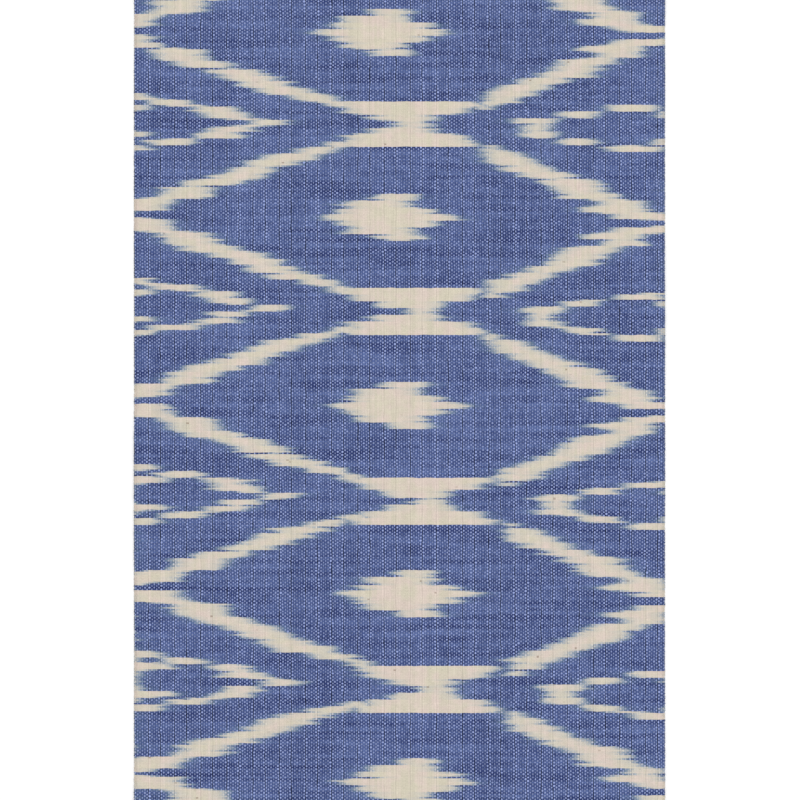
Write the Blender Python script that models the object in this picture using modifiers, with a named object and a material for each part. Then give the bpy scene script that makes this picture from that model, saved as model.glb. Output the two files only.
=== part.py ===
# A cut length of handwoven ikat cotton, lying flat on a table.
# Metres, +Z up. +X runs across the cloth, along the resist-dyed yarns, and +Y along the cut length.
# The origin is on the table, under the middle of the cloth.

import math

import bmesh
import bpy

# The weave sets the size: so many yarns at their real pitch each way.
UNDYED_YARNS = 223
UNDYED_PITCH = 0.000595
DYED_YARNS = 560
DYED_PITCH = 0.00042
WIDTH = UNDYED_YARNS * UNDYED_PITCH
LENGTH = DYED_YARNS * DYED_PITCH
THICKNESS = 0.001

# The grid that the cloth's folds are given to, about square cells.
CELLS_ACROSS = 24
CELLS_ALONG = 42

# The cut edges were scissored by eye, so each one wanders by a fraction of a millimetre.
CUT_WANDER = 0.00022
CUT_WAVE = 0.085
CUT_WAVE_SHORT = 0.031
SHORT_SHARE = 0.4

# The angle at which each edge's wander starts, so that no two edges match.
LEFT_START = 0.6
RIGHT_START = 2.1
NEAR_START = 1.3
FAR_START = 3.0

# The wander dies away inside the cloth with this power of the share from the middle.
EDGE_PULL = 3

# Where the flat cloth stands a little off the table. x and y are shares of the half sizes from the
# middle, reach_x and reach_y say how far the soft rise spreads, and height is in metres.
RISES = (
    {"x": -1.00, "y": -1.00, "reach_x": 0.62, "reach_y": 0.30, "height": 0.0006},
    {"x": 1.00, "y": -0.97, "reach_x": 0.40, "reach_y": 0.24, "height": 0.0004},
    {"x": 1.00, "y": 1.00, "reach_x": 0.66, "reach_y": 0.26, "height": 0.0007},
    {"x": -0.95, "y": 1.00, "reach_x": 0.44, "reach_y": 0.20, "height": 0.0005},
    {"x": 1.00, "y": 0.22, "reach_x": 0.30, "reach_y": 0.22, "height": 0.0003},
    {"x": -1.00, "y": -0.16, "reach_x": 0.26, "reach_y": 0.26, "height": 0.0003},
    {"x": 0.10, "y": 1.00, "reach_x": 0.36, "reach_y": 0.12, "height": 0.0003},
    {"x": -0.12, "y": -1.00, "reach_x": 0.40, "reach_y": 0.10, "height": 0.0002},
)

# Indigo and bare cotton seen together, as a linear colour.
CLOTH_COLOUR = (0.23, 0.25, 0.36, 1.0)
CLOTH_ROUGHNESS = 0.92


def rise(across, along):
    """Height of the cloth off the table at shares across and along of the half sizes."""
    height = 0.0
    for soft in RISES:
        off_x = (across - soft["x"]) / soft["reach_x"]
        off_y = (along - soft["y"]) / soft["reach_y"]
        away = math.hypot(off_x, off_y)
        if away < 1.0:
            height += soft["height"] * (0.5 + 0.5 * math.cos(math.pi * away))
    return height


def cut_wander(place, start):
    """How far a cut edge strays from a straight line at a place along it."""
    long_wave = math.sin(2 * math.pi * place / CUT_WAVE + start)
    short_wave = math.sin(2 * math.pi * place / CUT_WAVE_SHORT + 2 * start)
    return CUT_WANDER * ((1 - SHORT_SHARE) * long_wave + SHORT_SHARE * short_wave)


def laid_point(x, y):
    """Where a point of the straight flat cut comes to lie."""
    across = 2 * x / WIDTH
    along = 2 * y / LENGTH
    side = cut_wander(y, LEFT_START if across < 0 else RIGHT_START) * abs(across) ** EDGE_PULL
    end = cut_wander(x, NEAR_START if along < 0 else FAR_START) * abs(along) ** EDGE_PULL
    return x + side, y + end, rise(across, along)


def centred(points):
    """Points moved so that their middle across and along is at the origin."""
    middle_x = (min(p[0] for p in points) + max(p[0] for p in points)) / 2
    middle_y = (min(p[1] for p in points) + max(p[1] for p in points)) / 2
    return [(x - middle_x, y - middle_y, z) for x, y, z in points]


def cotton():
    """Soft matt cotton."""
    material = bpy.data.materials.new("dyed_cotton")
    material.use_nodes = True
    shader = material.node_tree.nodes["Principled BSDF"]
    shader.inputs["Base Color"].default_value = CLOTH_COLOUR
    shader.inputs["Roughness"].default_value = CLOTH_ROUGHNESS
    shader.inputs["Metallic"].default_value = 0.0
    material.diffuse_color = CLOTH_COLOUR
    return material


def cloth(collection):
    """One piece of cloth: an open sheet that follows the table, thickened upwards."""
    sheet = bmesh.new()
    bmesh.ops.create_grid(sheet, x_segments=CELLS_ACROSS, y_segments=CELLS_ALONG, size=1.0)
    laid = centred([laid_point(v.co.x * WIDTH / 2, v.co.y * LENGTH / 2) for v in sheet.verts])
    for vertex, place in zip(sheet.verts, laid):
        vertex.co = place
    mesh = bpy.data.meshes.new("ikat_cloth")
    sheet.to_mesh(mesh)
    sheet.free()
    mesh.shade_smooth()
    mesh.materials.append(cotton())
    piece = bpy.data.objects.new("ikat_cloth", mesh)
    collection.objects.link(piece)
    thicken = piece.modifiers.new("cloth_thickness", "SOLIDIFY")
    thicken.thickness = THICKNESS
    thicken.offset = 1.0
    thicken.use_even_offset = True
    return piece


for old in list(bpy.data.objects):
    bpy.data.objects.remove(old, do_unlink=True)

fabric = bpy.data.collections.new("ikat_fabric")
bpy.context.scene.collection.children.link(fabric)
cloth(fabric)
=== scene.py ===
import math

import bpy
import numpy as np
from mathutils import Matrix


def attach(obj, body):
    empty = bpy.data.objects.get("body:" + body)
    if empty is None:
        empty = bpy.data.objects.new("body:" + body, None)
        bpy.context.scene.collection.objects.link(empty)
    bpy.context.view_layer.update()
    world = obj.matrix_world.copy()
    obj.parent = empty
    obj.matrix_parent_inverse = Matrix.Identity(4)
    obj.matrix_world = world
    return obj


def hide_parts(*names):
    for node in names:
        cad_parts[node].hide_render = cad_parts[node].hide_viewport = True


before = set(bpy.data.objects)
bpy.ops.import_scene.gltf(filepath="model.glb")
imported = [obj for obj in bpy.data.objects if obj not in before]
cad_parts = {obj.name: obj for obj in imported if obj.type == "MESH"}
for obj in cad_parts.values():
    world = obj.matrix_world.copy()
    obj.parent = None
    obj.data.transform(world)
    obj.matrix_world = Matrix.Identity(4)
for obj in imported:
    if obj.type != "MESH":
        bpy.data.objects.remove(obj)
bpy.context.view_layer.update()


# The cloth is one cut length of plain-woven cotton ikat, lying face up, level but for soft rises. Undyed
# yarns run along it, and indigo yarns, tied in bundles before dyeing, run across it. It was scissored on
# all four sides and has no hem. The sheet stands for the plain solid.
UNDYED_YARNS = 223
UNDYED_PITCH = 0.000595
DYED_YARNS = 560
DYED_PITCH = 0.00042
CLOTH_WIDTH = UNDYED_YARNS * UNDYED_PITCH
CLOTH_LENGTH = DYED_YARNS * DYED_PITCH
CLOTH_THICKNESS = 0.00062

# The solid's cut edges and rises. Each edge is a long and a short wave, in metres, with its start in
# radians, and wanders less than the solid's, because the photo's edges are straighter. The places and
# reaches of the rises are shares of half the cloth, and their heights are metres.
CUT_WANDER = 0.00004
CUT_WAVE = 0.085
CUT_WAVE_SHORT = 0.031
SHORT_SHARE = 0.4
LEFT_START = 0.6
RIGHT_START = 2.1
NEAR_START = 1.3
FAR_START = 3.0
EDGE_PULL = 3
RISES = (
    {"x": -1.00, "y": -1.00, "reach_x": 0.62, "reach_y": 0.30, "height": 0.0006},
    {"x": 1.00, "y": -0.97, "reach_x": 0.40, "reach_y": 0.24, "height": 0.0004},
    {"x": 1.00, "y": 1.00, "reach_x": 0.66, "reach_y": 0.26, "height": 0.0007},
    {"x": -0.95, "y": 1.00, "reach_x": 0.44, "reach_y": 0.20, "height": 0.0005},
    {"x": 1.00, "y": 0.22, "reach_x": 0.30, "reach_y": 0.22, "height": 0.0003},
    {"x": -1.00, "y": -0.16, "reach_x": 0.26, "reach_y": 0.26, "height": 0.0003},
    {"x": 0.10, "y": 1.00, "reach_x": 0.36, "reach_y": 0.12, "height": 0.0003},
    {"x": -0.12, "y": -1.00, "reach_x": 0.40, "reach_y": 0.10, "height": 0.0002},
)

# The sheet's grid, and the share of its bake map that the rim takes, with as much left empty beside it.
CELLS_ACROSS = 112
CELLS_ALONG = 196
RIM_STRIP = 0.004


def rise(x, y):
    """Height of the cloth's underside off the floor at places x and y."""
    across = 2 * x / CLOTH_WIDTH
    along = 2 * y / CLOTH_LENGTH
    height = np.zeros_like(across)
    for soft in RISES:
        away = np.hypot((across - soft["x"]) / soft["reach_x"], (along - soft["y"]) / soft["reach_y"])
        height += soft["height"] * (0.5 + 0.5 * np.cos(np.pi * np.minimum(away, 1.0)))
    return height


def cut_wander(place, start):
    """How far a cut edge strays from a straight line at a place along it."""
    long_wave = np.sin(2 * np.pi * place / CUT_WAVE + start)
    short_wave = np.sin(2 * np.pi * place / CUT_WAVE_SHORT + 2 * start)
    return CUT_WANDER * ((1 - SHORT_SHARE) * long_wave + SHORT_SHARE * short_wave)


def laid_points(x, y, up):
    """Where points of the straight flat cut come to lie, so far up from its underside."""
    side_pull = np.abs(2 * x / CLOTH_WIDTH) ** EDGE_PULL
    end_pull = np.abs(2 * y / CLOTH_LENGTH) ** EDGE_PULL
    laid_x = x + cut_wander(y, np.where(x < 0, LEFT_START, RIGHT_START)) * side_pull
    laid_y = y + cut_wander(x, np.where(y < 0, NEAR_START, FAR_START)) * end_pull
    return np.stack([laid_x, laid_y, rise(x, y) + up], axis=-1)


def sheet_mesh():
    """The cloth's face and underside on one grid, closed by a rim, with its own map for a bake.

    It ends at the middles of the outermost yarns, which are made as yarns."""
    half_width = (CLOTH_WIDTH - UNDYED_PITCH) / 2
    half_length = (CLOTH_LENGTH - DYED_PITCH) / 2
    x, y = np.meshgrid(
        np.linspace(-half_width, half_width, CELLS_ACROSS + 1),
        np.linspace(-half_length, half_length, CELLS_ALONG + 1),
    )
    points = np.concatenate([laid_points(x, y, up).reshape(-1, 3) for up in (CLOTH_THICKNESS, 0.0)])

    number = np.arange(x.size).reshape(x.shape)
    cells = np.stack([number[:-1, :-1], number[:-1, 1:], number[1:, 1:], number[1:, :-1]], axis=-1)
    face = cells.reshape(-1, 4)
    underside = face[:, ::-1] + x.size
    rim = np.concatenate([number[0, :], number[1:, -1], number[-1, -2::-1], number[-2:0:-1, 0]])
    after = np.roll(rim, -1)
    wall = np.stack([rim, rim + x.size, after + x.size, after], axis=-1)
    corners = np.concatenate([face, underside, wall])

    mesh = bpy.data.meshes.new("cloth")
    mesh.from_pydata(points.tolist(), [], corners.tolist())
    mesh.shade_smooth()

    place = np.stack([x / CLOTH_WIDTH + 0.5, (y / CLOTH_LENGTH + 0.5) * (1 - 2 * RIM_STRIP)], axis=-1)
    spots = np.tile(place.reshape(-1, 2), (2, 1))[corners]
    around = np.linspace(0, 1, len(rim) + 1)
    low = np.full(len(rim), 1 - RIM_STRIP)
    high = low + RIM_STRIP
    wall_spots = ((around[:-1], high), (around[:-1], low), (around[1:], low), (around[1:], high))
    spots[-len(rim):] = np.stack([np.stack(spot, axis=-1) for spot in wall_spots], axis=1)
    mesh.uv_layers.new(name="OFBake").data.foreach_set("uv", spots.ravel())
    return mesh


class Reading:
    """A number, a colour or a place read on the cloth: one output socket of its material's nodes."""

    def __init__(self, socket):
        self.socket = socket

    def through(self, kind, settings=None, inputs=None, out=0):
        """What another node gives. Its settings are set first, then its sockets."""
        tree = self.socket.id_data
        node = tree.nodes.new(kind)
        settings = dict(settings or {})
        stops = settings.pop("stops", ())
        if stops:
            while len(node.color_ramp.elements) < len(stops):
                node.color_ramp.elements.new(1.0)
            for stop, (position, colour) in zip(node.color_ramp.elements, stops):
                stop.position = position
                stop.color = colour
        for name, value in settings.items():
            setattr(node, name, value)
        for name, value in (inputs or {}).items():
            if isinstance(value, Reading):
                tree.links.new(value.socket, node.inputs[name])
            else:
                node.inputs[name].default_value = value
        return Reading(node.outputs[out])

    def other(self, out):
        """Another output of the same node."""
        return Reading(self.socket.node.outputs[out])

    def parts(self):
        """The red, green and blue of this colour, as three numbers."""
        red = self.through("ShaderNodeSeparateColor", inputs={0: self})
        return red, red.other("Green"), red.other("Blue")

    def math(self, operation, *values, clamp=False):
        """What a Math node makes of this number and others."""
        settings = {"operation": operation, "use_clamp": clamp}
        return self.through("ShaderNodeMath", settings, dict(enumerate((self, *values))))

    def mixed(self, low, high):
        """Colour or place low where this is 0, and high where it is 1."""
        return self.through("ShaderNodeMix", {"data_type": "RGBA"}, {0: self, 6: low, 7: high}, out=2)

    def scaled(self, x, y, z=1.0):
        """This place with its three sides stretched."""
        return self.through("ShaderNodeVectorMath", {"operation": "MULTIPLY"}, {0: self, 1: (x, y, z)})

    def dimmed(self, share):
        """This colour times a number."""
        return self.through("ShaderNodeVectorMath", {"operation": "SCALE"}, {0: self, "Scale": share})

    def noise(self, detail=2.0):
        """Soft noise from 0 to 1 at this place."""
        inputs = {"Vector": self, "Scale": 1.0, "Detail": detail}
        return self.through("ShaderNodeTexNoise", {"noise_dimensions": "3D"}, inputs)

    def chance(self, out=0):
        """A fixed random number from 0 to 1, or a colour of three of them, for this whole number."""
        return self.through("ShaderNodeTexWhiteNoise", {"noise_dimensions": "1D"}, {"W": self}, out)

    def smooth(self, low, high, result_low=0.0, result_high=1.0):
        """A soft step as this goes from low to high."""
        inputs = {0: self, 1: low, 2: high, 3: result_low, 4: result_high}
        return self.through("ShaderNodeMapRange", {"interpolation_type": "SMOOTHSTEP"}, inputs)

    def swing(self, width):
        """This number from 0 to 1 as one from half a width below zero to half a width above."""
        return (self - 0.5) * width

    def __add__(self, value):
        return self.math("ADD", value)

    def __sub__(self, value):
        return self.math("SUBTRACT", value)

    def __mul__(self, value):
        return self.math("MULTIPLY", value)

    def __truediv__(self, value):
        return self.math("DIVIDE", value)

    def __rsub__(self, value):
        return self.through("ShaderNodeMath", {"operation": "SUBTRACT"}, {0: value, 1: self})

    def __neg__(self):
        return self * -1.0

    __radd__ = __add__
    __rmul__ = __mul__


# The tying chart. The yarns were folded at a joint of the lattice and at the middle of a lozenge, so a
# bundle is counted from 0 at a joint to 14 at a lozenge, and back. Each part of the lattice was wrapped,
# bundle by bundle, from one place to another, in millimetres from the middle of the cloth, and stayed
# cream. Where the second place is not past the first, nothing was wrapped. A part's lean is how much of
# its side's lay to the right it takes, its low is how many yarns lower it lies, and its blend is how much
# of a bundle, before and after the line between two, it takes to change from one wrap to the next.
TIED = {
    "joint": {"side": "middle", "lean": 0.7, "low": 0.0, "blend": 0.12, "wraps": {
        0.0: (2.0, 9.9), 1.0: (-5.6, 11.2), 2.0: (-11.9, 19.1), 3.0: (-14.1, 21.9),
        3.45: (-14.1, 21.9), 3.55: (40.0, -40.0)}},
    "lozenge": {"side": "middle", "lean": 1.0, "low": 0.0, "blend": 0.12, "wraps": {
        10.45: (40.0, -40.0), 10.55: (-4.6, 6.4), 11.0: (-4.6, 6.4), 12.0: (-11.9, 4.6),
        13.0: (-14.2, 10.6), 14.0: (-18.2, 15.2)}},
    "left arm": {"side": "left", "lean": 1.0, "low": 0.0, "blend": 0.26, "wraps": {
        2.0: (0.0, -20.0), 3.0: (-16.6, -10.0), 4.0: (-24.8, -14.9), 5.0: (-33.5, -19.4),
        6.0: (-38.0, -24.7), 7.0: (-41.8, -29.7), 8.0: (-46.6, -33.4), 9.0: (-54.0, -39.2),
        10.0: (-58.6, -45.7), 11.0: (-59.5, -46.2), 12.0: (-72.0, -56.6), 13.0: (-74.0, -57.6),
        14.0: (-80.0, -73.0)}},
    "left leaf": {"side": "left", "lean": 1.0, "low": -1.3, "blend": 0.16, "wraps": {
        0.0: (-35.4, -26.9), 1.0: (-47.1, -36.9), 2.0: (-49.8, -39.4), 3.0: (-61.8, -50.0),
        4.0: (-72.0, -62.2), 5.0: (-80.0, -71.0)}},
    "left tooth": {"side": "left", "lean": 1.4, "low": -2.2, "blend": 0.16, "wraps": {
        1.0: (-80.0, -69.5), 2.0: (-80.0, -60.4), 3.0: (-80.0, -69.0), 4.0: (-80.0, -75.0),
        13.0: (-80.0, -75.0), 14.0: (-80.0, -66.0)}},
    "right arm": {"side": "right", "lean": 1.0, "low": -1.0, "blend": 0.26, "wraps": {
        2.0: (30.0, 10.0), 3.0: (21.9, 26.4), 4.0: (22.5, 31.8), 5.0: (23.1, 35.6),
        6.0: (27.2, 39.1), 7.0: (32.1, 44.6), 8.0: (36.9, 50.9), 9.0: (39.8, 53.0),
        10.0: (41.7, 55.9), 11.0: (51.2, 62.5), 12.0: (46.2, 62.4), 13.0: (54.8, 73.0),
        14.0: (72.0, 80.0)}},
    "right leaf": {"side": "right", "lean": 1.0, "low": -0.3, "blend": 0.1, "wraps": {
        0.0: (32.6, 39.4), 1.0: (31.3, 41.9), 2.0: (41.9, 51.0), 3.0: (53.8, 66.2),
        4.0: (72.0, 80.0)}},
    "right tooth": {"side": "right", "lean": 0.4, "low": 0.0, "blend": 0.1, "wraps": {
        1.0: (70.0, 80.0), 2.0: (64.4, 80.0), 3.0: (70.0, 80.0)}},
}

# Yarns in a bundle, bundles from a joint to a lozenge, and yarns from the near end to a joint's middle.
# A ramp holds only 0 to 1, so the places go into it as shares of a range in millimetres either way.
BUNDLE_YARNS = 4
HALF_REPEAT = 14
JOINT_YARN = 448
PLACE_RANGE = 90.0

# No two repeats were laid alike. From the far end to the near end, a row for each joint and lozenge in
# turn: how many millimetres to the right, and how many yarns low, each side of the cloth was laid. These
# go into ramps in the same way.
LAID = (
    {"middle": (-2.6, 1.0), "left": (-3.0, 1.0), "right": (-2.2, 3.0)},
    {"middle": (-2.6, 2.0), "left": (-3.1, 1.0), "right": (-2.0, 5.0)},
    {"middle": (-2.7, 0.5), "left": (-1.0, 0.9), "right": (-2.0, 3.0)},
    {"middle": (-1.2, 0.0), "left": (-0.4, -1.8), "right": (-1.0, 4.6)},
    {"middle": (-1.0, 0.0), "left": (-0.6, -0.9), "right": (-0.7, 3.5)},
    {"middle": (0.7, 0.0), "left": (0.7, -3.3), "right": (0.5, 5.4)},
    {"middle": (2.9, 0.8), "left": (1.6, -0.9), "right": (3.0, 3.4)},
    {"middle": (3.4, 0.0), "left": (2.9, -4.8), "right": (4.4, 5.7)},
    {"middle": (4.9, 0.8), "left": (2.8, -1.8), "right": (4.7, 4.0)},
    {"middle": (3.8, 0.0), "left": (3.2, -6.0), "right": (4.3, 7.2)},
    {"middle": (2.6, 0.0), "left": (2.4, -3.0), "right": (3.2, 4.6)},
)
LAID_RANGE = 8.0

# The wraps are untidy, in millimetres. Both ends of a wrap stray by yarn, now and then further, and by
# bundle. On the outer yarns, this share of a bundle off its middle, dye got under the wrap a little, and
# now and then a lot. A SEED keeps one chance apart from the others.
PART_SEED = 1000.0
YARN_STRAYS = 0.5
YARN_STRAYS_FAR = 1.8
BUNDLE_STRAYS = 1.2
MISSED = 1.4
MISSED_FAR = 7.0
OUTER_YARNS = (0.2, 0.42)


def laid_at(dyed):
    """How far right and how low this yarn's repeat was laid, for each side of the cloth."""
    laid = {side: [] for side in LAID[0]}
    for way in range(2):
        stops = []
        for number, row in enumerate(reversed(LAID)):
            shares = [0.5 + lay[way] / (2 * LAID_RANGE) for lay in row.values()]
            stops.append((number / (len(LAID) - 1), (*shares, 1.0)))
        ramp = dyed.through("ShaderNodeValToRGB", {"stops": stops}, {"Fac": (dyed + 0.5) / DYED_YARNS})
        for side, part in zip(laid, ramp.parts()):
            laid[side].append(part.swing(2 * LAID_RANGE))
    return laid


def wraps_at(part, place):
    """Where one part's wraps start and end at a place along the cloth, counted in bundles."""
    counted = place.math("PINGPONG", HALF_REPEAT)
    whole = counted.math("FLOOR")
    looked_up = whole + (counted - whole).smooth(0.5 - part["blend"], 0.5 + part["blend"])
    stops = [
        (count / HALF_REPEAT, (*[0.5 + end / (2 * PLACE_RANGE) for end in ends], 0.0, 1.0))
        for count, ends in part["wraps"].items()
    ]
    ramp = place.through("ShaderNodeValToRGB", {"stops": stops}, {"Fac": looked_up / HALF_REPEAT})
    start, end, _ = ramp.parts()
    return start.swing(2 * PLACE_RANGE), end.swing(2 * PLACE_RANGE)


def stray_end(by_yarn, by_bundle):
    """How far an end of a wrap strays, from one chance by yarn and one by bundle."""
    far = (by_yarn * 2.0 - 1.0).math("POWER", 5.0) * YARN_STRAYS_FAR
    return far + by_yarn.swing(YARN_STRAYS) + by_bundle.swing(BUNDLE_STRAYS)


def wrapped_depth(x, dyed, crept_in):
    """How far inside a wrapped stretch this point of its yarn is, in millimetres, or outside if less."""
    laid = laid_at(dyed)
    inside = None
    for number, part in enumerate(TIED.values(), start=1):
        laid_right, laid_low = laid[part["side"]]
        place = (JOINT_YARN - 0.5 - dyed - laid_low - part["low"]) / BUNDLE_YARNS
        bundle = (place + 0.5).math("FLOOR")
        start_by_yarn, end_by_yarn, leak = (dyed + PART_SEED * number).chance("Color").parts()
        start_by_bundle, end_by_bundle, _ = (bundle + PART_SEED * number).chance("Color").parts()
        missed = leak.math("POWER", 3.0) * MISSED + leak.math("POWER", 30.0) * MISSED_FAR
        pulled_in = (place - bundle).math("ABSOLUTE").smooth(*OUTER_YARNS) * (missed + crept_in)
        start, end = wraps_at(part, place)
        start = start + stray_end(start_by_yarn, start_by_bundle) + pulled_in
        end = end + stray_end(end_by_yarn, end_by_bundle) - pulled_in
        here = x - laid_right * part["lean"]
        span = (here - start).math("MINIMUM", end - here)
        inside = span if inside is None else inside.math("MAXIMUM", span)
    return inside


# The weave is read in millimetres. Its yarns stray a little from their even places. A GRAIN says how
# closely a noise swells across and along the cloth, and the noises lie mostly within NOISE_SPAN.
MM = 1000
NOISE_SPAN = (0.3, 0.7)
UNDYED_STRAYS = 0.56
UNDYED_STRAY_GRAIN = (1.1, 0.3)
DYED_STRAYS = 0.4
DYED_STRAY_GRAIN = (0.4, 1.4)


def crossing_at(at, x, y):
    """Which undyed and which dyed yarn cross here, and how far off the middle of each, in pitches."""
    stray_x = at.scaled(*UNDYED_STRAY_GRAIN).noise().swing(UNDYED_STRAYS)
    stray_y = at.scaled(*DYED_STRAY_GRAIN).noise().swing(DYED_STRAYS)
    column = (x + stray_x) / (UNDYED_PITCH * MM) + UNDYED_YARNS / 2
    row = (y + stray_y) / (DYED_PITCH * MM) + DYED_YARNS / 2
    undyed = column.math("FLOOR")
    dyed = row.math("FLOOR")
    return undyed, dyed, column - undyed - 0.5, row - dyed - 0.5


# The wires of the loom's reed stood between every five or six undyed yarns and left a faint gap. The
# yarns beside it stand free and get a painted highlight, and the gap and a hollow on both sides get painted
# shade.
DENT_YARNS = 5.5
DENT_START = 0.25
GAP_EDGE = (0.12, 0.45)
HOLLOW_EDGE = (0.15, 0.5)


def reed_gap(undyed, off_undyed):
    """A chance for this dent, 1 if this yarn is beside a gap, and how deep in the gap and in a hollow."""
    dent = ((undyed + DENT_START) / DENT_YARNS).math("FLOOR")
    last = ((undyed + (DENT_START + 1)) / DENT_YARNS).math("FLOOR") - dent
    first = dent - ((undyed + (DENT_START - 1)) / DENT_YARNS).math("FLOOR")
    beside_gap = last + first
    gap = last * off_undyed.smooth(*GAP_EDGE) + first * (-off_undyed).smooth(*GAP_EDGE)
    hollow = beside_gap * off_undyed.math("ABSOLUTE").smooth(*HOLLOW_EDGE)
    return dent.chance(), beside_gap, gap, hollow


# Each yarn rises over one crossing yarn and dips under the next, with a round back. Heights are in
# millimetres, and half widths in pitches. A dyed yarn's ROUND is how steeply its sides fall. The undyed
# yarns bulge like a barrel at each crossing, and are plumper in some places than in others.
YARN_WAVE = 0.11
DYED_BACK = 0.17
DYED_ROUND = 3.4
UNDYED_BACK = 0.15
UNDYED_HALF = 0.24
HALF_BY_YARN = 0.06
HALF_BESIDE_GAP = 0.05
HALF_BY_CROSSING = 0.1
UNDYED_BARREL = 1.6
PLUMP_GRAIN = (0.6, 1.2)
LEAN_AND_PLUMP = (0.8, 1.2)
COVER_EDGE = (-0.1, 0.25)
ON_TOP_EDGE = (-0.015, 0.015)


def undyed_half_width(at, off_dyed, beside_gap, by_undyed, by_crossing):
    """Half the width of the undyed yarn here."""
    half = by_undyed * HALF_BY_YARN + beside_gap * HALF_BESIDE_GAP + by_crossing * HALF_BY_CROSSING
    plump = at.scaled(*PLUMP_GRAIN).noise().smooth(*NOISE_SPAN, *LEAN_AND_PLUMP)
    return (half + UNDYED_HALF) * plump * (1 - off_dyed * off_dyed * UNDYED_BARREL)


def raised(undyed, dyed, off_undyed, off_dyed, half_undyed):
    """How high the upper yarn is here, and 1 where that is the undyed one."""
    over = 1 - (undyed + dyed).math("FLOORED_MODULO", 2.0) * 2
    wave_dyed = over * (off_undyed * math.pi).math("COSINE") * YARN_WAVE
    wave_undyed = over * (off_dyed * math.pi).math("COSINE") * -YARN_WAVE
    round_dyed = (1 - off_dyed * off_dyed * DYED_ROUND).math("MAXIMUM", 0.0).math("SQRT") * DYED_BACK
    across = off_undyed / half_undyed
    round_undyed = (1 - across * across).math("MAXIMUM", 0.0).math("SQRT") * UNDYED_BACK
    top_dyed = wave_dyed + round_dyed
    top_undyed = wave_undyed + round_undyed
    covered = (1 - across * across).smooth(*COVER_EDGE)
    undyed_on_top = (top_undyed - top_dyed).smooth(*ON_TOP_EDGE) * covered
    return top_dyed.math("MAXIMUM", top_undyed), undyed_on_top


def srgb(red, green, blue):
    """A colour given from 0 to 255, as a linear one."""
    shares = [c / 255 for c in (red, green, blue)]
    return tuple([c / 12.92 if c < 0.04045 else ((c + 0.055) / 1.055) ** 2.4 for c in shares] + [1.0])


# The indigo took unevenly, in long streaks along a few yarns together, in soft patches over many, and a
# little from yarn to yarn. In places it is greener for some millimetres outside a wrap.
INDIGO_DARK = srgb(29, 44, 99)
INDIGO_PALE = srgb(86, 104, 156)
TEAL = srgb(94, 118, 146)
STREAK_GRAIN = (0.055, 0.95)
STREAK_SHARE = 0.6
PATCH_GRAIN = (0.09, 0.2)
PATCH_SHARE = 0.3
YARN_SHARE = 0.1
YARN_SEED = 7.0
DARK_TO_PALE = (0.26, 0.74)
GREENER_STRETCH = (-7.0, -0.3)
GREENER_PATCHES = (0.3, 0.6)
MOST_GREEN = 0.45


def indigo_at(at, dyed, inside):
    """The indigo of this dyed yarn here, where no wrap was near enough to fade it."""
    streak = at.scaled(*STREAK_GRAIN).noise()
    patch = at.scaled(*PATCH_GRAIN).noise()
    by_yarn = (dyed + YARN_SEED).chance()
    pale = (streak * STREAK_SHARE + patch * PATCH_SHARE + by_yarn * YARN_SHARE).smooth(*DARK_TO_PALE)
    greener = inside.smooth(*GREENER_STRETCH, 0.0, MOST_GREEN) * patch.smooth(*GREENER_PATCHES)
    return greener.mixed(pale.mixed(INDIGO_DARK, INDIGO_PALE), TEAL)


# The undyed cotton is cream, pinker in places and on some yarns, and greyer just inside the end of a
# wrap, where thin dye washed in. On the blue it shows as dots, tinted by the yarns around them. Where
# the cloth is bare, a few brown specks of seed husk show.
CREAM = srgb(204, 197, 177)
CREAM_PINK = srgb(210, 194, 184)
WASHED = srgb(194, 190, 180)
DOT = srgb(132, 144, 185)
SPECK = srgb(120, 96, 80)
PINK_GRAIN = (0.2, 0.3)
PINK_BY_PLACE = 0.85
PINK_BY_YARN = 0.15
WASHED_STRETCH = (0.5, 6.5)
MOST_WASHED = 0.9
SPECK_CHANCE = (0.9972, 0.9995)
MOST_SPECK = 0.55


def cream_at(at, inside, by_undyed):
    """The cream of the undyed cotton here."""
    pink = at.scaled(*PINK_GRAIN).noise() * PINK_BY_PLACE + by_undyed * PINK_BY_YARN
    cream = pink.smooth(*NOISE_SPAN).mixed(CREAM, CREAM_PINK)
    return inside.smooth(*WASHED_STRETCH, MOST_WASHED, 0.0).mixed(cream, WASHED)


# Dye crept in under the wraps on the outer yarns of a bundle, further in some places. Around the end of
# its wrap each yarn fades over its own length, from indigo through teal and a bled blue-grey to cream.
# Both are in millimetres, the fade each way, and its stages are shares of the whole fade.
CREEP_GRAIN = (0.55, 2.38, 3.0)
MOST_CREPT = 1.2
FADE_SEED = 77.0
SHORTEST_FADE = 1.55
FADE_RANGE = 1.7
BLED = srgb(160, 170, 180)
TO_TEAL = (0.0, 0.35)
TO_BLED = (0.15, 0.7)
TO_CREAM = (0.45, 1.0)
DOT_TO_CREAM = (0.0, 0.8)


def bare_share(at, x, dyed):
    """How far inside a wrapped stretch this is, in millimetres, and how free of dye, from 0 to 1."""
    crept_in = at.scaled(*CREEP_GRAIN).noise(detail=1.0).smooth(*NOISE_SPAN, 0.0, MOST_CREPT)
    inside = wrapped_depth(x, dyed, crept_in)
    fade = (dyed + FADE_SEED).chance() * FADE_RANGE + SHORTEST_FADE
    return inside, (inside / fade).math("MULTIPLY_ADD", 0.5, 0.5, clamp=True)


def yarn_colour(bare, undyed_on_top, indigo, cream):
    """The colour of the yarn on top."""
    tied = bare.smooth(*TO_TEAL).mixed(indigo, TEAL)
    tied = bare.smooth(*TO_BLED).mixed(tied, BLED)
    tied = bare.smooth(*TO_CREAM).mixed(tied, cream)
    never_dyed = bare.smooth(*DOT_TO_CREAM).mixed(DOT, cream)
    return undyed_on_top.mixed(tied, never_dyed)
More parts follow.
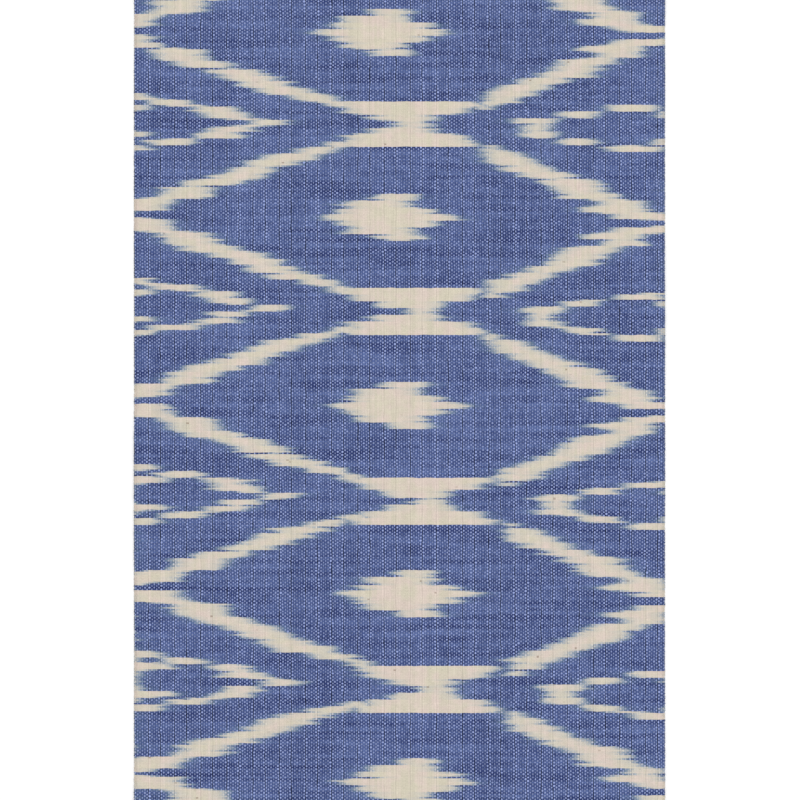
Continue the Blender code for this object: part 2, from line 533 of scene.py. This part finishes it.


# Painted shade darkens the colour where the weave lies low and in the reed's gaps and hollows, as light
# is lost there, and most of that is spared where the yarns are bare. By chance, yarns and crossings are
# brighter or darker, most of all the dots of undyed yarn on the blue. So are fine threads along the
# undyed yarns, the fibres along each yarn, and soft clouds on the bare cotton.
BARE_SPARES = 0.84
LOW_AND_HIGH = (0.06, 0.25)
LOW_LOSES = 0.32
GAP_LOSES = 0.3
HOLLOW_LOSES = 0.24
BARE_GAP_LOSES = 0.03
DOTS_BY_YARN = 0.12
DOTS_BY_DENT = 0.05
DOTS_BY_CROSSING = 0.3
PAINTED_HIGHLIGHT_BESIDE_GAP = 0.26
LIGHT_BY_FLOAT = 0.14
LIGHT_BY_YARN = 0.06
THREAD_GRAIN = (2.2, 0.25)
THREAD_LIGHT = 0.12
BLUE_HIDES_THREAD = 0.5
FIBRES_ALONG = 1.5
FIBRES_ACROSS = 16.0
FIBRE_LIGHT = 0.3
CLOUD_GRAIN = (0.5, 0.9)
CLOUD_LIGHT = 0.14


def light_at(at, height, bare, undyed_on_top, beside_gap, gap, hollow, chances):
    """How bright the yarn on top is, as a share of its colour, with painted shade and highlight."""
    by_undyed, by_dent, by_crossing, by_float = chances
    blue = 1 - bare * BARE_SPARES
    low = 1 - height.smooth(*LOW_AND_HIGH)
    # Painted shade where the weave lies low, in the reed's gaps and in the hollows beside them.
    painted_shade = blue * (low * LOW_LOSES + gap * GAP_LOSES + hollow * HOLLOW_LOSES) + gap * BARE_GAP_LOSES
    dots = by_undyed.swing(DOTS_BY_YARN) + by_dent.swing(DOTS_BY_DENT) + by_crossing.swing(DOTS_BY_CROSSING)
    # A painted highlight on the dots beside a reed gap, and brightness by chance.
    bright = (dots + beside_gap * PAINTED_HIGHLIGHT_BESIDE_GAP) * undyed_on_top + by_float.swing(LIGHT_BY_FLOAT)
    light = 1 - painted_shade + by_undyed.swing(LIGHT_BY_YARN) + blue * bright
    thread = at.scaled(*THREAD_GRAIN).noise(detail=1.0).swing(THREAD_LIGHT)
    across = at.scaled(FIBRES_ALONG, FIBRES_ACROSS)
    along = at.scaled(FIBRES_ACROSS, FIBRES_ALONG)
    fibres = undyed_on_top.math("ROUND").mixed(across, along).noise().swing(FIBRE_LIGHT)
    clouds = at.scaled(*CLOUD_GRAIN).noise().swing(CLOUD_LIGHT)
    return light + thread * (1 - blue * BLUE_HIDES_THREAD) + fibres * light + clouds * bare


# The cotton is matt, with hardly any gloss and a faint sheen, and its bumps are the heights of the yarns.
UNDYED_SEED = 31.0
CROSSING_SEEDS = (7.0, 1331.0)
BUMP_STRENGTH = 0.3
COTTON_ROUGHNESS = 0.9
COTTON_SPECULAR = 0.25
COTTON_SHEEN = 0.06


def ikat_cotton():
    """Plain-woven cotton: undyed yarns along, tied and indigo-dyed yarns across."""
    material = bpy.data.materials.new("ikat_cotton")
    material.use_nodes = True
    tree = material.node_tree
    shader = tree.nodes["Principled BSDF"]
    at = Reading(tree.nodes.new("ShaderNodeTexCoord").outputs["Object"]).scaled(MM, MM, MM)
    x = at.through("ShaderNodeSeparateXYZ", inputs={0: at})
    y = x.other("Y")

    undyed, dyed, off_undyed, off_dyed = crossing_at(at, x, y)
    by_dent, beside_gap, gap, hollow = reed_gap(undyed, off_undyed)
    by_undyed = (undyed + UNDYED_SEED).chance()
    crossing = undyed * CROSSING_SEEDS[0] + dyed * CROSSING_SEEDS[1]
    by_crossing, speck, by_float = crossing.chance("Color").parts()
    half_undyed = undyed_half_width(at, off_dyed, beside_gap, by_undyed, by_crossing)
    height, undyed_on_top = raised(undyed, dyed, off_undyed, off_dyed, half_undyed)

    # The ends of the undyed yarns stand free past the last dyed yarn, and are bare.
    inside, bare = bare_share(at, x, dyed)
    free_end = y.math("ABSOLUTE").math("GREATER_THAN", CLOTH_LENGTH * MM / 2)
    bare = bare.math("MAXIMUM", free_end)
    undyed_on_top = undyed_on_top.math("MAXIMUM", free_end)

    chances = (by_undyed, by_dent, by_crossing, by_float)
    colour = yarn_colour(bare, undyed_on_top, indigo_at(at, dyed, inside), cream_at(at, inside, by_undyed))
    colour = colour.dimmed(light_at(at, height, bare, undyed_on_top, beside_gap, gap, hollow, chances))
    colour = (speck.smooth(*SPECK_CHANCE, 0.0, MOST_SPECK) * bare).mixed(colour, SPECK)

    tree.links.new(colour.socket, shader.inputs["Base Color"])
    inputs = {"Height": height, "Distance": 1 / MM, "Strength": BUMP_STRENGTH}
    bump = height.through("ShaderNodeBump", inputs=inputs)
    tree.links.new(bump.socket, shader.inputs["Normal"])
    shader.inputs["Roughness"].default_value = COTTON_ROUGHNESS
    shader.inputs["Specular IOR Level"].default_value = COTTON_SPECULAR
    shader.inputs["Sheen Weight"].default_value = COTTON_SHEEN
    return material


cloth = bpy.data.objects.new("cloth", sheet_mesh())
bpy.context.scene.collection.objects.link(cloth)
cloth.data.materials.append(ikat_cotton())
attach(cloth, "root")
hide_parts("ikat_cloth")


# The outermost yarns and the cut ends. With no selvedge, the last yarn on each side lies bare, and the
# yarns that cross it end just past it, over it and under it in turn. The scissors left the ends of the
# indigo yarns short, and those of the undyed yarns a little longer where the cloth has begun to fray.
WEAVE_RISE = 0.00014
YARN_SIDES = 8
YARN_STEPS = 4
FEWEST_STEPS = 5
YARN_HALF_UP = 0.00015
UNEVEN_YARN = 0.07
CUT_TIP = 0.8
DYED_HALF_ACROSS = 0.00019
UNDYED_HALF_ACROSS = 0.00017
END_BEND = 0.00012

# How far the yarns reach, counted in the yarns that they cross: the ends into the cloth, and the side
# and end yarns past it. How far the ends stand out, least and most, is in metres.
HELD_YARNS = 0.9
SIDE_YARN_PAST_NEAR = 1.2
SIDE_YARN_PAST_FAR = 1.4
END_YARN_PAST = 0.1
INDIGO_END = (-0.00004, 0.00008)
UNDYED_END = (0.0002, 0.0008)
CUTTING_SEED = 5

# A stretch of yarn has a square spot on its bake map, with margins, and a cut end a round one.
SPOT_MARGIN = 0.05
CUT_SPOT = 0.4


def woven(first, last, crossed):
    """Steps along a yarn, counted in the yarns that it crosses, its wave there, and how far past them."""
    steps = max(FEWEST_STEPS, int((last - first) * YARN_STEPS))
    places = np.linspace(first, last, steps + 1)
    wave = np.sin(np.pi * np.clip(places, -0.5, crossed + 0.5))
    return places, wave, places - np.clip(places, 0, crossed)


def dyed_yarn(row, first, last, random):
    """A yarn across the cloth, from one place to another counted in undyed yarns."""
    across, wave, free = woven(first, last, UNDYED_YARNS)
    x = (across - UNDYED_YARNS / 2) * UNDYED_PITCH
    y = (row + 0.5 - DYED_YARNS / 2) * DYED_PITCH + free * random.uniform(-END_BEND, END_BEND)
    up = CLOTH_THICKNESS / 2 + WEAVE_RISE * (-1) ** row * wave
    return laid_points(x, y, up), DYED_HALF_ACROSS


def undyed_yarn(column, first, last, random):
    """A yarn along the cloth, from one place to another counted in dyed yarns."""
    along, wave, free = woven(first, last, DYED_YARNS)
    x = (column + 0.5 - UNDYED_YARNS / 2) * UNDYED_PITCH + free * random.uniform(-END_BEND, END_BEND)
    y = (along - DYED_YARNS / 2) * DYED_PITCH
    up = CLOTH_THICKNESS / 2 - WEAVE_RISE * (-1) ** column * wave
    return laid_points(x, y, up), UNDYED_HALF_ACROSS


def yarn_rings(path, half_across, random):
    """Rings of points around a yarn's path, a little uneven, and smaller at both cuts."""
    along = np.gradient(path, axis=0)
    along /= np.linalg.norm(along, axis=1, keepdims=True)
    across = np.cross(along, (0.0, 0.0, 1.0))
    across /= np.linalg.norm(across, axis=1, keepdims=True)
    up = np.cross(across, along)
    uneven = random.uniform(1 - UNEVEN_YARN, 1 + UNEVEN_YARN, (len(path), YARN_SIDES, 1))
    uneven[[0, -1]] *= CUT_TIP
    turn = np.linspace(0, 2 * np.pi, YARN_SIDES, endpoint=False)
    wide = across[:, None] * (np.cos(turn) * half_across)[None, :, None]
    tall = up[:, None] * (np.sin(turn) * YARN_HALF_UP)[None, :, None]
    return (path[:, None] + (wide + tall) * uneven).reshape(-1, 3)


def stretch_faces(first):
    """The faces from the ring that starts at this point to the next one, with their corners on a spot."""
    left = SPOT_MARGIN
    right = 1 - SPOT_MARGIN
    for side in range(YARN_SIDES):
        here = first + side
        after = first + (side + 1) % YARN_SIDES
        low, high = [left + (right - left) * edge / YARN_SIDES for edge in (side, side + 1)]
        face = (here, here + YARN_SIDES, after + YARN_SIDES, after)
        yield face, [(left, low), (right, low), (right, high), (left, high)]


def cut_face(first, sides):
    """The face over a ring that starts at this point, with its corners on a spot."""
    turns = [2 * math.pi * side / YARN_SIDES for side in sides]
    round_spot = [(0.5 + CUT_SPOT * math.cos(turn), 0.5 + CUT_SPOT * math.sin(turn)) for turn in turns]
    return [first + side for side in sides], round_spot


def yarn_mesh(name, yarns, random):
    """Round yarns swept along their paths, closed at both ends, each stretch with its own spot to bake."""
    points, stretches = [], []
    first = 0
    for path, half_across in yarns:
        points.append(yarn_rings(path, half_across, random))
        last = first + (len(path) - 1) * YARN_SIDES
        stretches += [list(stretch_faces(ring)) for ring in range(first, last, YARN_SIDES)]
        stretches.append([cut_face(first, range(YARN_SIDES))])
        stretches.append([cut_face(last, range(YARN_SIDES - 1, -1, -1))])
        first = last + YARN_SIDES

    spots_across = math.ceil(math.sqrt(len(stretches)))
    faces, corners = [], []
    for spot, stretch in enumerate(stretches):
        for face, on_spot in stretch:
            faces.append(face)
            corners.append(np.array([spot % spots_across, spot // spots_across]) + on_spot)
    mesh = bpy.data.meshes.new(name)
    mesh.from_pydata(np.concatenate(points).tolist(), [], faces)
    mesh.shade_smooth()
    mesh.uv_layers.new(name="OFBake").data.foreach_set("uv", np.concatenate(corners).ravel() / spots_across)
    return mesh


def cut_ends(make, numbers, crossed, pitch, proud, random):
    """The short ends of the yarns with these numbers, at both edges of the cloth."""
    ends = []
    for number in numbers:
        ends.append(make(number, -random.uniform(*proud) / pitch, HELD_YARNS, random))
        ends.append(make(number, crossed - HELD_YARNS, crossed + random.uniform(*proud) / pitch, random))
    return ends


cutting = np.random.default_rng(CUTTING_SEED)
side_yarns = [
    undyed_yarn(column, -SIDE_YARN_PAST_NEAR, DYED_YARNS + SIDE_YARN_PAST_FAR, cutting)
    for column in (0, UNDYED_YARNS - 1)
]
side_yarns += cut_ends(dyed_yarn, range(1, DYED_YARNS - 1), UNDYED_YARNS, UNDYED_PITCH, INDIGO_END, cutting)
end_yarns = [
    dyed_yarn(row, -END_YARN_PAST, UNDYED_YARNS + END_YARN_PAST, cutting)
    for row in (0, DYED_YARNS - 1)
]
end_yarns += cut_ends(undyed_yarn, range(1, UNDYED_YARNS - 1), DYED_YARNS, DYED_PITCH, UNDYED_END, cutting)
for name, yarns in (("side_yarns", side_yarns), ("end_yarns", end_yarns)):
    piece = bpy.data.objects.new(name, yarn_mesh(name, yarns, cutting))
    bpy.context.scene.collection.objects.link(piece)
    piece.data.materials.append(cloth.data.materials[0])
    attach(piece, "root")


# The floor is a plain near-white ground that the cloth lies on, matt and with hardly any gloss. It
# reaches far past the cloth, so that its own edges stay out of sight.
FLOOR_SIZE = 14.0
FLOOR_WHITE = (0.94, 0.94, 0.94, 1.0)
FLOOR_ROUGHNESS = 0.8
FLOOR_SPECULAR = 0.2
bpy.ops.mesh.primitive_plane_add(size=FLOOR_SIZE, location=(0, 0, 0))
floor = bpy.context.object
floor.name = "floor"
floor_paint = bpy.data.materials.new("floor_paint")
floor_paint.use_nodes = True
floor_shader = floor_paint.node_tree.nodes["Principled BSDF"]
floor_shader.inputs["Base Color"].default_value = FLOOR_WHITE
floor_shader.inputs["Roughness"].default_value = FLOOR_ROUGHNESS
floor_shader.inputs["Specular IOR Level"].default_value = FLOOR_SPECULAR
floor.data.materials.append(floor_paint)


# The light is a broad soft panel above the cloth, a little to the right and to the far side. It faces
# down, a little to the left and a little further back. A white room fills the shade.
PANEL_SIZE = 1.4
PANEL_X = 0.1
PANEL_Y = 0.2
PANEL_HEIGHT = 1.3
PANEL_WATTS = 7.3
ROOM_WHITE = (1.0, 1.0, 1.0, 1.0)
ROOM_STRENGTH = 0.85
panel = bpy.data.lights.new("panel", "AREA")
panel.shape = "SQUARE"
panel.size = PANEL_SIZE
panel.energy = PANEL_WATTS
panel_place = bpy.data.objects.new("panel", panel)
panel_place.location = (PANEL_X, PANEL_Y, PANEL_HEIGHT)
panel_place.rotation_euler = (math.atan2(PANEL_Y, PANEL_HEIGHT), math.atan2(PANEL_X, PANEL_HEIGHT), 0)
bpy.context.scene.collection.objects.link(panel_place)
room = bpy.data.worlds.new("room")
room.use_nodes = True
room.node_tree.nodes["Background"].inputs["Color"].default_value = ROOM_WHITE
room.node_tree.nodes["Background"].inputs["Strength"].default_value = ROOM_STRENGTH
bpy.context.scene.world = room
bpy.context.scene.view_settings.view_transform = "Standard"


# The camera looks straight down with a long lens, from where the square picture takes in 200 mm of the
# cloth's face. The whole width shows, and the length runs off the picture at both ends.
FRAME_SIDE = 0.2
FRAME_MIDDLE_X = 0.00012
FRAME_MIDDLE_Y = 0.001375
LENS_MM = 100.0
SENSOR_MM = 36.0
lens = bpy.data.cameras.new("lens")
lens.sensor_width = SENSOR_MM
lens.lens = LENS_MM
camera = bpy.data.objects.new("camera", lens)
camera_height = CLOTH_THICKNESS + FRAME_SIDE * LENS_MM / SENSOR_MM
camera.location = (FRAME_MIDDLE_X, FRAME_MIDDLE_Y, camera_height)
bpy.context.scene.collection.objects.link(camera)
bpy.context.scene.camera = camera
